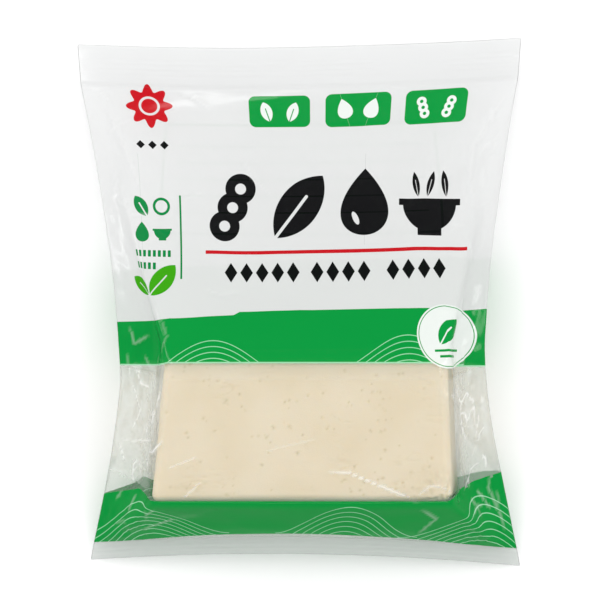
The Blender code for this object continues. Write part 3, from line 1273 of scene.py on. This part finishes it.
def make_film_material(name, inks, whitening_and_highlight_strength):
    material = bpy.data.materials.new(name)
    material.use_nodes = True
    tree = material.node_tree
    nodes, links = tree.nodes, tree.links
    nodes.remove(principled(material))
    place = nodes.new("ShaderNodeAttribute")
    place.attribute_name = "flat"
    split = nodes.new("ShaderNodeSeparateXYZ")
    links.new(place.outputs["Vector"], split.inputs[0])
    point = Wire(tree, split.outputs[0]), Wire(tree, split.outputs[1])
    colour, cover = MILK, 0.0
    for shape, ink, strength in inks(point):
        if shape is None:
            colour, cover = ink, strength
            continue
        share = covered(shape)
        colour = blended(tree, share.socket, colour, ink)
        cover = (share * strength).most(cover)
    # Painted highlight: creases and seal rib crests mix towards white, which on a crease is partly the
    # film's own whitening.
    whitening_and_highlight = nodes.new("ShaderNodeAttribute")
    whitening_and_highlight.attribute_name = "whitening_and_highlight"
    white = Wire(tree, whitening_and_highlight.outputs["Fac"]).least(1) * whitening_and_highlight_strength
    colour = blended(tree, white.socket, colour, (0.98, 0.98, 0.98))
    cover = white.most(cover)
    bump = nodes.new("ShaderNodeBump")
    bump.inputs["Strength"].default_value = 0.3
    bump.inputs["Distance"].default_value = 0.0004
    links.new(noise_value(tree, place.outputs["Vector"], 130, 3), bump.inputs["Height"])
    matt = nodes.new("ShaderNodeBsdfDiffuse")
    glow = nodes.new("ShaderNodeBsdfTranslucent")
    for body in (matt, glow):
        links.new(colour, body.inputs["Color"])
    clear = nodes.new("ShaderNodeBsdfTransparent")
    clear.inputs["Color"].default_value = (*CLEAR, 1)
    gloss = nodes.new("ShaderNodeBsdfAnisotropic")
    gloss.inputs["Roughness"].default_value = FILM_ROUGHNESS
    links.new(bump.outputs["Normal"], gloss.inputs["Normal"])
    fresnel = nodes.new("ShaderNodeFresnel")
    fresnel.inputs["IOR"].default_value = FILM_IOR
    body = joined(tree, cover, clear, joined(tree, INK_GLOW, matt, glow))
    skin = joined(tree, Wire(tree, fresnel.outputs[0]).least(MOST_GLOSS), body, gloss)
    links.new(skin.outputs[0], nodes["Material Output"].inputs["Surface"])
    return material


# %% [markdown]
# Each stretch of the film gets a material with only the inks that it needs, which keeps the shaders
# short. A zone reaches down to the flat height given with it.

# %% Print zones
FRONT_ZONES = [("head", 0.0815, head_inks), ("title", 0.0345, title_inks),
               ("caption", 0.0065, caption_inks), ("band", -0.0315, band_inks),
               ("window", -0.0870, window_inks), ("foot", -1.0, foot_inks)]
BACK_ZONES = [("label", 0.0340, label_inks), ("back_band", -0.0315, back_band_inks),
              ("back_window", -0.0870, window_inks), ("back_foot", -1.0, foot_inks)]


def dress_film(film):
    """Gives each face of the film the material of its print zone."""
    is_back = [face.material_index == 1 for face in film.data.polygons]
    flat = flat_places(film.data)
    film.data.materials.clear()
    for name, _, inks in FRONT_ZONES + BACK_ZONES:
        white = BARE_WHITENING_AND_HIGHLIGHT if inks is window_inks else INKED_WHITENING_AND_HIGHLIGHT
        film.data.materials.append(make_film_material(name + "_film", inks, white))
    for face, back in zip(film.data.polygons, is_back):
        height = sum(flat[corner][1] for corner in face.vertices) / len(face.vertices)
        zones = BACK_ZONES if back else FRONT_ZONES
        zone = next(index for index, (_, low, _) in enumerate(zones) if height > low)
        face.material_index = zone + (len(FRONT_ZONES) if back else 0)


dress_film(film)
for material in film.data.materials:
    print(material.name, "nodes:", len(material.node_tree.nodes))

# %% [markdown]
# ## Hand over
# Both pieces ride on the only body. Together they stand for the solid.

# %% Join the frame
for piece in (tofu, film):
    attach(piece, "root")
    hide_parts(BAG)
